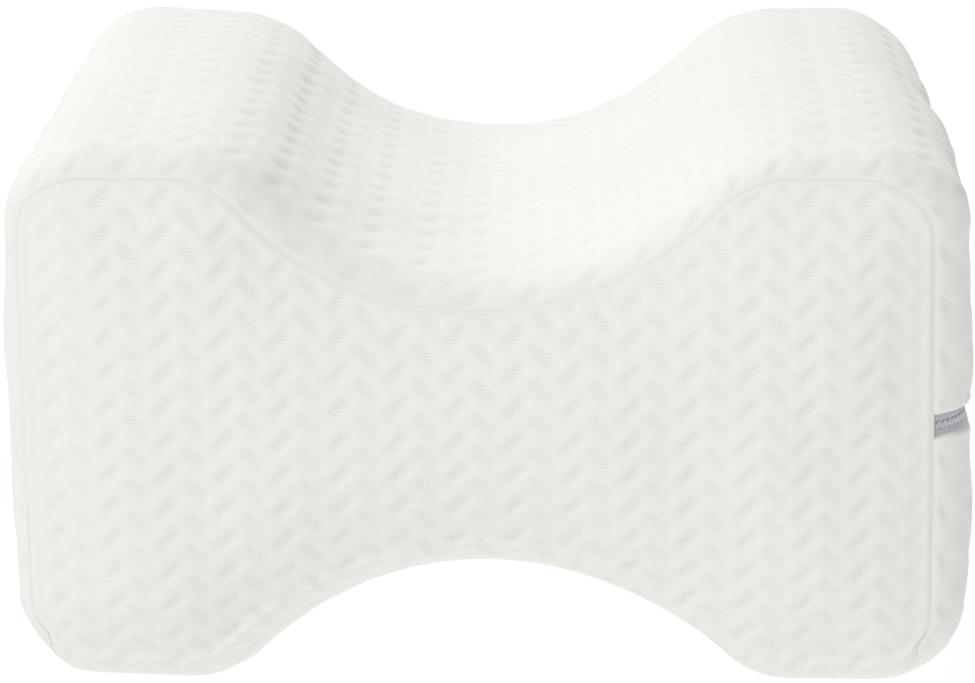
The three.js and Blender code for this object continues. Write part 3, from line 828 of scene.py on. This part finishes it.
# Loops of the knit: small holes where two crossed cosine waves are both high, on the piece's own
# pattern coordinates, and a faint weave of the same waves everywhere.
def knitGroup():
    group = bpy.data.node_groups.new("knitLoops", "ShaderNodeTree")
    group.interface.new_socket("Pattern", in_out="INPUT", socket_type="NodeSocketVector")
    for name in ("Loops Across", "Loops Up", "Sunken"):
        group.interface.new_socket(name, in_out="INPUT", socket_type="NodeSocketFloat")
    for name in ("Height", "Holes"):
        group.interface.new_socket(name, in_out="OUTPUT", socket_type="NodeSocketFloat")
    source = group.nodes.new("NodeGroupInput")
    target = group.nodes.new("NodeGroupOutput")
    split = group.nodes.new("ShaderNodeSeparateXYZ")
    group.links.new(source.outputs["Pattern"], split.inputs[0])
    across = mathNode(group, "MULTIPLY", split.outputs["X"], source.outputs["Loops Across"])
    up = mathNode(group, "MULTIPLY", split.outputs["Y"], source.outputs["Loops Up"])
    waveA = mathNode(group, "COSINE", mathNode(group, "MULTIPLY", across, 2 * math.pi))
    waveB = mathNode(group, "COSINE", mathNode(group, "MULTIPLY", up, 2 * math.pi))
    highA, highB = mathNode(group, "MAXIMUM", waveA, 0.0), mathNode(group, "MAXIMUM", waveB, 0.0)
    holes = mathNode(group, "MULTIPLY", mathNode(group, "MULTIPLY", highA, highB), source.outputs["Sunken"])
    fine = mathNode(group, "MULTIPLY", mathNode(group, "ADD", waveA, waveB), finish["weave"])
    height = mathNode(group, "SUBTRACT", fine, holes)
    group.links.new(height, target.inputs["Height"])
    # The holes also serve as the mask of the painted shade in them.
    group.links.new(holes, target.inputs["Holes"])
    return group


# Noise in the piece's own space, for the knit's patches and the fine grain of the zip's parts.
def noiseGroup():
    group = bpy.data.node_groups.new("pieceNoise", "ShaderNodeTree")
    group.interface.new_socket("Scale", in_out="INPUT", socket_type="NodeSocketFloat")
    group.interface.new_socket("Noise", in_out="OUTPUT", socket_type="NodeSocketFloat")
    source = group.nodes.new("NodeGroupInput")
    target = group.nodes.new("NodeGroupOutput")
    coords = group.nodes.new("ShaderNodeTexCoord")
    noise = group.nodes.new("ShaderNodeTexNoise")
    group.links.new(coords.outputs["Object"], noise.inputs["Vector"])
    group.links.new(source.outputs["Scale"], noise.inputs["Scale"])
    group.links.new(noise.outputs["Fac"], target.inputs["Noise"])
    return group


loopsGroup = knitGroup()
pieceNoise = noiseGroup()


# Places a group in a material.
def placeGroup(tree, group):
    node = tree.nodes.new("ShaderNodeGroup")
    node.node_tree = group
    return node


# Mixes two colours, or sockets that give one, by a factor.
def mixColor(tree, factor, a, b):
    node = tree.nodes.new("ShaderNodeMix")
    node.data_type = "RGBA"
    tree.links.new(factor, node.inputs["Factor"])
    for socket, value in ((node.inputs["A"], a), (node.inputs["B"], b)):
        if isinstance(value, tuple):
            socket.default_value = value
        else:
            tree.links.new(value, socket)
    return node.outputs["Result"]


# A value that the mesh carries at its points.
def pointValue(tree, name):
    node = tree.nodes.new("ShaderNodeAttribute")
    node.attribute_name = name
    return node.outputs["Fac"]


# The noise at a scale of the material's own.
def noiseValue(tree, scale):
    noise = placeGroup(tree, pieceNoise)
    noise.inputs["Scale"].default_value = scale
    return noise.outputs["Noise"]


# Lets a height tilt the shader's normal.
def addBump(tree, shader, height, strength, distance):
    bump = tree.nodes.new("ShaderNodeBump")
    bump.inputs["Strength"].default_value = strength
    bump.inputs["Distance"].default_value = distance
    tree.links.new(height, bump.inputs["Height"])
    tree.links.new(bump.outputs["Normal"], shader.inputs["Normal"])


# Matt knit: the ground colour, warmer in patches of the open mesh, with painted shade in the loops' holes
# and a little painted shade along the seam's groove.
def knitMaterial(name, ground, loopCounts, warmth):
    material = bpy.data.materials.new(name)
    tree, shader = nodeTree(material)
    shader.inputs["Roughness"].default_value = finish["knitRoughness"]
    shader.inputs["Sheen Weight"].default_value = finish["sheen"]
    shader.inputs["Sheen Roughness"].default_value = finish["sheenRoughness"]
    shader.inputs["Specular IOR Level"].default_value = finish["knitShine"]
    uvNode = tree.nodes.new("ShaderNodeUVMap")
    uvNode.uv_map = "knitUV"
    sunken = pointValue(tree, "sunken")
    loops = placeGroup(tree, loopsGroup)
    loops.inputs["Loops Across"].default_value, loops.inputs["Loops Up"].default_value = loopCounts
    tree.links.new(uvNode.outputs["UV"], loops.inputs["Pattern"])
    tree.links.new(sunken, loops.inputs["Sunken"])
    patch = mathNode(tree, "SUBTRACT", noiseValue(tree, finish["patchScale"]), finish["patchFrom"])
    patch = mathNode(tree, "MULTIPLY", patch, finish["patchGain"])
    patch = mathNode(tree, "MAXIMUM", mathNode(tree, "MINIMUM", patch, 1.0), 0.0)
    warm = mathNode(tree, "MULTIPLY", mathNode(tree, "MULTIPLY", patch, warmth), sunken)
    color = mixColor(tree, warm, ground, finish["warmColor"])
    # Painted shade in the loops' holes.
    holes = mathNode(tree, "MULTIPLY", loops.outputs["Holes"], finish["holeShade"])
    color = mixColor(tree, holes, color, finish["holeShadeColor"])
    # Painted shade along the seam's groove.
    seamShade = mathNode(tree, "MULTIPLY", pointValue(tree, "seamShadeMask"), finish["seamShade"])
    color = mixColor(tree, seamShade, color, finish["shadeColor"])
    tree.links.new(color, shader.inputs["Base Color"])
    addBump(tree, shader, loops.outputs["Height"], finish["loopBump"], finish["loopDepth"])
    return material


# Plain finish with a fine grain in colour and bump.
def plainMaterial(name, color, roughness, metallic, grain):
    material = bpy.data.materials.new(name)
    tree, shader = nodeTree(material)
    shader.inputs["Metallic"].default_value = metallic
    shader.inputs["Roughness"].default_value = roughness
    noise = noiseValue(tree, finish["grainScale"])
    dark = tuple(c * finish["grainDark"] for c in color[:3]) + (1,)
    tree.links.new(mixColor(tree, noise, dark, color), shader.inputs["Base Color"])
    addBump(tree, shader, noise, grain, finish["grainDepth"])
    return material


print("stage: cloth")
moved = blowUp()
print("stage: cover")
coverBand = makeBand()
frontCover = makePanel("frontCover", -1)
backCover = makePanel("backCover", 1)
print("stage: zip")
zipTeeth = makeTeeth()
zipTape = makeTape()

print("stage: materials")
bandKnit = knitMaterial("bandKnit", finish["bandColor"], finish["bandLoops"], finish["bandWarmth"])
panelKnit = knitMaterial("panelKnit", finish["panelColor"], finish["panelLoops"], finish["panelWarmth"])
coverBand.data.materials.append(bandKnit)
frontCover.data.materials.append(panelKnit)
backCover.data.materials.append(panelKnit)
zipTeeth.data.materials.append(plainMaterial("coilNylon", finish["toothColor"], 0.4, 0.0, 0.1))
zipTape.data.materials.append(plainMaterial("tapeWeave", finish["tapeColor"], 0.8, 0.0, 0.5))
sliderSteel = plainMaterial("sliderSteel", finish["sliderColor"], 0.32, 0.95, 0.2)
for node in ("zip_slider", "zip_pull"):
    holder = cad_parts[node]
    holder.data.materials.clear()
    holder.data.materials.append(sliderSteel)

print("stage: bodies")
for piece, nodeName, slotName in (
    (coverBand, "pillow_body", "band_knit"),
    (frontCover, "front_panel", "panel_knit"), (backCover, "back_panel", "panel_knit"),
    (zipTeeth, "zip_strip", "zip_nylon"), (zipTape, "zip_strip", "zip_nylon"),
):
    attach(piece, "root")
    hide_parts(nodeName)

print("stage: floor, light and camera")
light = {
    "world": 0.45, "key": 25.0, "back": 11.0, "front": 2.6,    # strength of the surroundings, then watts
    "keyPlace": (-1.09, -1.09, 2.08), "backPlace": (-0.35, 1.06, 1.45), "frontPlace": (0.1, -1.9, 0.6),
    "lampSize": 0.9, "aim": (0.0, 0.0, 0.07),
    "floorPaint": 0.1, "floorGlow": 0.93, "floorHalf": 6,
}


# A square lamp that faces the pillow.
def areaLight(name, place, power):
    data = bpy.data.lights.new(name, "AREA")
    data.shape, data.size, data.energy = "SQUARE", light["lampSize"], power
    lamp = bpy.data.objects.new(name, data)
    lamp.location = place
    lamp.rotation_mode = "QUATERNION"
    lamp.rotation_quaternion = (Vector(light["aim"]) - Vector(place)).to_track_quat("-Z", "Y")
    scene.collection.objects.link(lamp)


areaLight("keyLight", light["keyPlace"], light["key"])
areaLight("backLight", light["backPlace"], light["back"])
areaLight("frontLight", light["frontPlace"], light["front"])

world = bpy.data.worlds.new("studio")
world.use_nodes = True
world.node_tree.nodes["Background"].inputs["Color"].default_value = (1, 1, 1, 1)
world.node_tree.nodes["Background"].inputs["Strength"].default_value = light["world"]
scene.world = world

floorMesh = bpy.data.meshes.new("studioFloor")
half = light["floorHalf"]
floorCorners = [(-half, -half, 0), (half, -half, 0), (half, half, 0), (-half, half, 0)]
floorMesh.from_pydata(floorCorners, [], [(0, 1, 2, 3)])
studioFloor = bpy.data.objects.new("studioFloor", floorMesh)
scene.collection.objects.link(studioFloor)
floorMaterial = bpy.data.materials.new("floorPaint")
floorTree, floorShader = nodeTree(floorMaterial)
floorShader.inputs["Base Color"].default_value = (light["floorPaint"],) * 3 + (1,)
floorShader.inputs["Emission Color"].default_value = (1, 1, 1, 1)
floorShader.inputs["Emission Strength"].default_value = light["floorGlow"]
floorShader.inputs["Roughness"].default_value = 0.9
floorShader.inputs["Specular IOR Level"].default_value = 0.0
studioFloor.data.materials.append(floorMaterial)

shot = {
    "place": (0.0207, -0.9140, 0.3631), "tilt": 17.86, "turn": 1.487, "roll": -0.368,    # degrees
    "focalPixels": 3516.8, "imageWidth": 975, "sensor": 36.0, "clip": (0.01, 50),
}
tilt, turn, roll = (math.radians(shot[key]) for key in ("tilt", "turn", "roll"))
forward = np.array([-math.sin(turn) * math.cos(tilt), math.cos(turn) * math.cos(tilt), -math.sin(tilt)])
rightWay = np.array([math.cos(turn), math.sin(turn), 0.0])
upWay = np.cross(rightWay, forward)
cameraRight = math.cos(roll) * rightWay + math.sin(roll) * upWay
cameraUp = math.cos(roll) * upWay - math.sin(roll) * rightWay
cameraData = bpy.data.cameras.new("photoView")
cameraData.sensor_width = shot["sensor"]
cameraData.lens = shot["focalPixels"] / shot["imageWidth"] * shot["sensor"]
cameraData.clip_start, cameraData.clip_end = shot["clip"]
camera = bpy.data.objects.new("photoView", cameraData)
camera.matrix_world = Matrix([
    (cameraRight[0], cameraUp[0], -forward[0], shot["place"][0]),
    (cameraRight[1], cameraUp[1], -forward[1], shot["place"][1]),
    (cameraRight[2], cameraUp[2], -forward[2], shot["place"][2]),
    (0, 0, 0, 1),
])
scene.collection.objects.link(camera)
scene.camera = camera
scene.view_settings.view_transform = "Standard"
